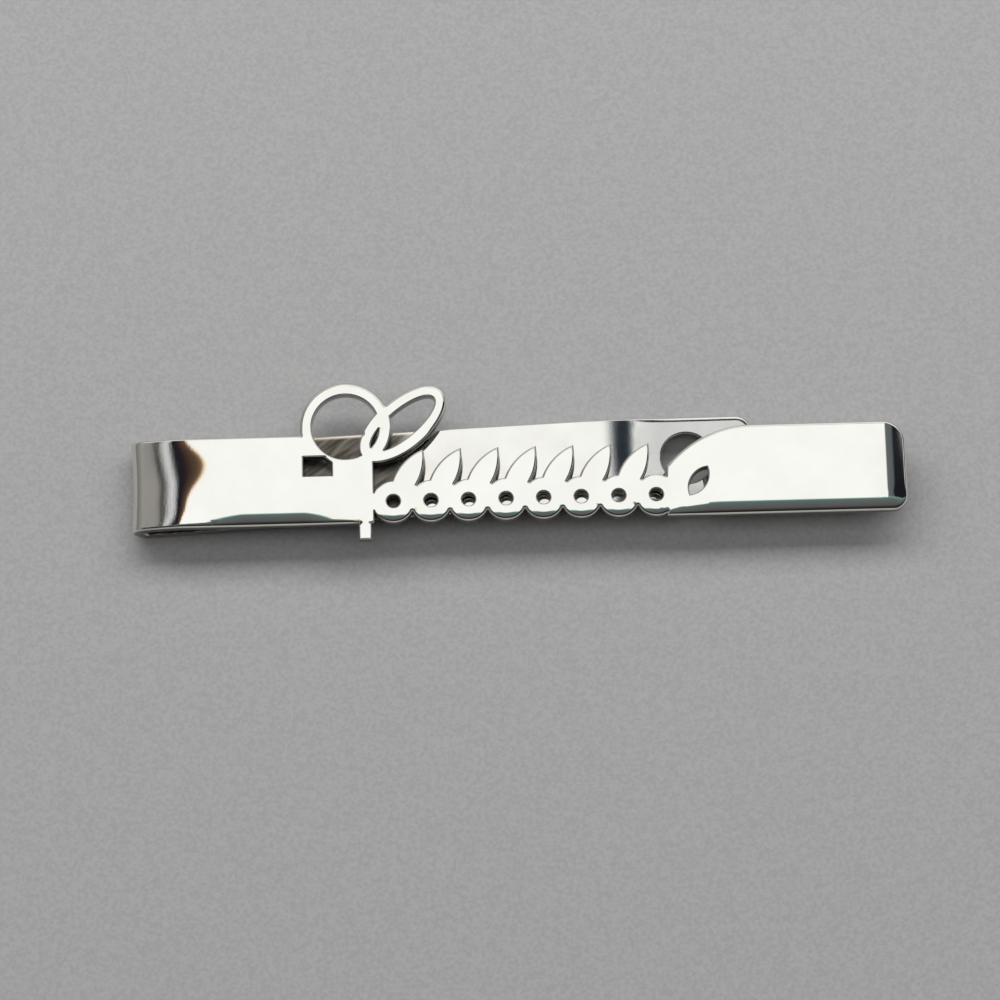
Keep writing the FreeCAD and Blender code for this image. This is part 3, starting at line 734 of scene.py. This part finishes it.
def makeFold():
    section = foldSection()
    bpy.ops.object.select_all(action="DESELECT")
    bpy.ops.mesh.primitive_circle_add(vertices=len(section), radius=1, fill_type="NGON")
    piece = bpy.context.object
    piece.name = piece.data.name = "hairpinFold"
    for vertex, (y, z) in zip(piece.data.vertices, section):
        vertex.co = Vector((fold["shoulderCentre"][0], y, z)) * mm
    bpy.ops.object.mode_set(mode="EDIT")
    bpy.ops.mesh.select_all(action="SELECT")
    for centre, turn, steps in ((fold["shoulderCentre"], fold["shoulderTurn"], fold["shoulderSteps"]),
                                (fold["noseCentre"], fold["noseTurn"], fold["noseSteps"])):
        bpy.ops.mesh.spin(steps=steps, angle=math.radians(turn), center=(centre[0] * mm, 0, centre[1] * mm),
                          axis=(0, 1, 0))
    bpy.ops.mesh.select_all(action="SELECT")
    bpy.ops.mesh.remove_doubles(threshold=weld)
    bpy.ops.mesh.fill_holes(sides=0)
    bpy.ops.object.mode_set(mode="OBJECT")
    dishFold(piece)
    closeUp(piece, polished)
    for face in piece.data.polygons:
        face.material_index = 1 if abs(face.normal.y) > fold["cutSide"] else 0
    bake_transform(piece)
    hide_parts("hairpin_fold")
    print("hairpin fold", len(piece.data.vertices), "points")


makeFold()

# Tongue: made flat along its length, then bent at the ridge and set on the line it flexes about
tongue = {
    "straight": 36.05, "flare": 10.8, "flareTurn": 6.5, "ridgeRound": 34.0, "rise": 1.581565, "top": -0.3,
    "tipWidth": 6.5, "tipRound": 1.1, "tipSteps": 16, "sideSteps": 60, "skew": 1.9, "twist": (0.8, 8.0),
    "holeRadius": 2.0, "holeToTip": 5.07, "holeEdge": 0.12, "holeSteps": 72,
    "rim": (0.42, 0.03), "rimStart": 37, "rimRun": 4,  # the upper rim's roll-off, and where it grows
    "bendRows": 41, "acrossRows": (-3.0, 5.0, 33), "rowsClear": 0.9,  # points on the flat where the tongue bends
}


def tonguePlan():  # the flat tongue's outline and its hole
    reach = tongue["straight"] + tongue["flare"]
    lean = math.tan(math.radians(tongue["skew"]))
    root, tip = strip["halfWidth"], tongue["tipWidth"] / 2
    low, high = np.array((reach, lean * reach - tip)), np.array((reach, lean * reach + tip))
    corners = [np.array((0.0, -root)), low, high, np.array((0.0, root))]
    rounded = []
    for before, corner, after in (corners[0:3], corners[1:4]):  # arcs that touch both edges at each tip corner
        ways = [(p - corner) / np.hypot(*(p - corner)) for p in (before, after)]
        half = math.acos(ways[0] @ ways[1]) / 2
        centre = corner + (ways[0] + ways[1]) / (2 * math.cos(half)) * tongue["tipRound"] / math.sin(half)
        first = corner + ways[0] * tongue["tipRound"] / math.tan(half) - centre
        for k in range(tongue["tipSteps"] + 1):
            turn = (math.pi - 2 * half) * k / tongue["tipSteps"]
            rounded.append(centre + (first[0] * math.cos(turn) - first[1] * math.sin(turn),
                                     first[0] * math.sin(turn) + first[1] * math.cos(turn)))
    steps = tongue["sideSteps"]
    outer = [corners[0] + (rounded[0] - corners[0]) * i / steps for i in range(steps)] + rounded
    outer += [corners[3] + (rounded[-1] - corners[3]) * (steps - i) / steps for i in range(1, steps + 1)]
    outer += [np.array((0.0, y)) for y in seamRows()[::-1]]
    at = reach - tongue["holeToTip"]
    hole = [np.array((at + tongue["holeRadius"] * math.cos(a), at * lean - tongue["holeRadius"] * math.sin(a)))
            for a in np.linspace(0, 2 * math.pi, tongue["holeSteps"], endpoint=False)]
    return [np.array(outer), np.array(hole)]


def ridgeBend():  # radius and turn of the bend at the ridge, and where it begins
    radius, turn = tongue["ridgeRound"], math.radians(tongue["flareTurn"])
    return radius, turn, tongue["straight"] - radius * math.tan(turn / 2)


def bendTongue(point):  # flat tongue to its place: ridge, flare, rise and the hinge line
    x, y, z = point
    radius, turn, begin = ridgeBend()
    bent = min(max((x - begin) / radius, 0), turn)
    along = min(x, begin) + radius * math.sin(bent) + max(x - begin - radius * turn, 0) * math.cos(turn)
    height = -radius * (1 - math.cos(bent)) - max(x - begin - radius * turn, 0) * math.sin(turn)
    twist = math.radians(tongue["twist"][0]) * easeIn((x - begin) / tongue["twist"][1] + 1)
    height += (x * math.tan(math.radians(tongue["skew"])) + tongue["tipWidth"] / 2 - y) * math.tan(twist)
    across = z - strip["thickness"] / 2
    along += across * math.sin(bent)
    height += across * math.cos(bent) + tongue["top"] - strip["thickness"] / 2
    rise = math.radians(tongue["rise"])
    return (along * math.cos(rise) - height * math.sin(rise) + fold["noseCentre"][0], y,
            along * math.sin(rise) + height * math.cos(rise) + fold["noseCentre"][1])


def makeTongue():
    loops = tonguePlan()
    radius, turn, begin = ridgeBend()
    bends = np.linspace(begin - tongue["twist"][1], begin + radius * turn, tongue["bendRows"])
    spare = np.array([(x, y) for x in bends for y in np.linspace(*tongue["acrossRows"])])
    front, back = [], []
    for number, loop in enumerate(loops):
        run = np.roll(loop, -1, 0) - loop
        skip = loop[:, 0] * 2 + run[:, 0] < 1e-6
        for rolls, side in ((front, "inner"), (back, "outer")):
            edge = tongue["holeEdge"] if number else strip[side]
            values = np.tile((edge, 0.0, 0.0), (len(loop), 1))
            if side == "inner" and not number:  # the rim that shows over the plate
                width, drop = tongue["rim"]
                for i in np.flatnonzero(run[:, 0] < -0.3 * np.hypot(*run.T)):
                    values[i, 1:] = width, drop * easeIn((loop[i][0] - tongue["rimStart"]) / tongue["rimRun"])
            rolls.append(sharedEnds(values, skip))
    starts, ends = bothEnds(loops)
    close = edgeDrop(spare, starts, ends, np.vstack(back))[1]
    spare = spare[(close > tongue["rowsClear"]) & inOutline(spare, starts, ends)]
    piece = sheetSolid("springTongue", loops, front, back, spare)
    for vertex in piece.data.vertices:
        vertex.co = Vector(bendTongue(vertex.co / mm)) * mm
    closeUp(piece, spring)
    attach(piece, "tongue")
    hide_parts("spring_tongue")
    print("spring tongue", len(piece.data.vertices), "points")


makeTongue()
